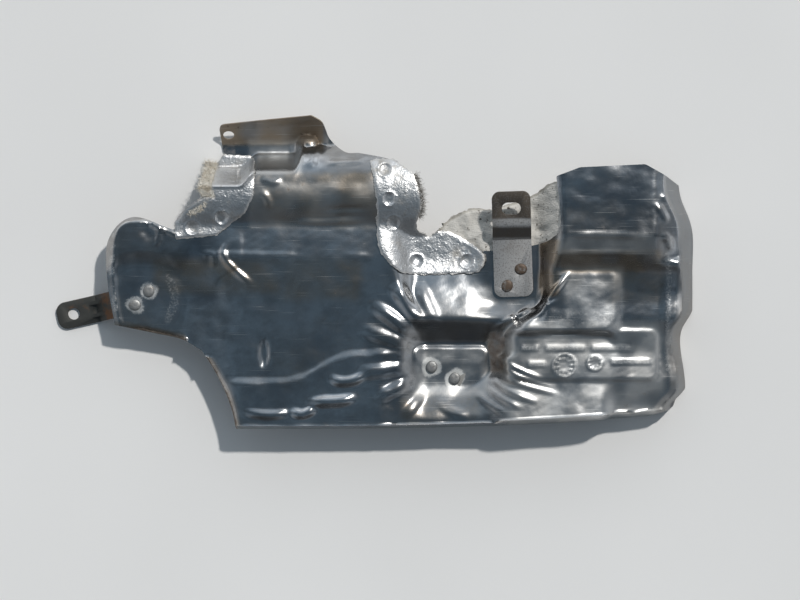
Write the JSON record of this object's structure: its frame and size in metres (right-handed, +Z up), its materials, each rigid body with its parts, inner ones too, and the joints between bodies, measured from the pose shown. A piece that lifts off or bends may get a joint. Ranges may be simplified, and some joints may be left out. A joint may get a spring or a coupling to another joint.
{
  "type": "exhaust heat shield",
  "caption": "Pressed sheet-metal exhaust heat shield with torn foil-faced insulation, a slotted strap bracket and a bolt tab, lying as it comes to rest.",
  "frame": {"origin": "on the surface it lies on, under the middle of its plan", "axes": "+X along the shield from the bolt tab to the block, +Y across it towards the bolt flange, +Z up"},
  "size_m": [0.3912, 0.191, 0.0401],
  "materials": {
    "sheet": "dull aluminised sheet with heat tint and scratches",
    "foil": "crinkled foil",
    "fibre": "loose mineral fibre",
    "mat": "matted insulation felt",
    "bracket": "dull steel with rust in the bends",
    "rivet": "dull steel rivets"
  },
  "bodies": {
    "root": {"shield_sheet": "sheet", "left_foil_patch": "foil", "left_fibre_tuft": "fibre", "right_foil_patch": "foil", "right_fibre_tuft": "fibre", "saddle_mat": "mat", "strap_bracket": "bracket", "tab_bracket": "bracket", "pocket_backing_plate": "bracket", "rivets": "rivet"}
  },
  "joints": []
}
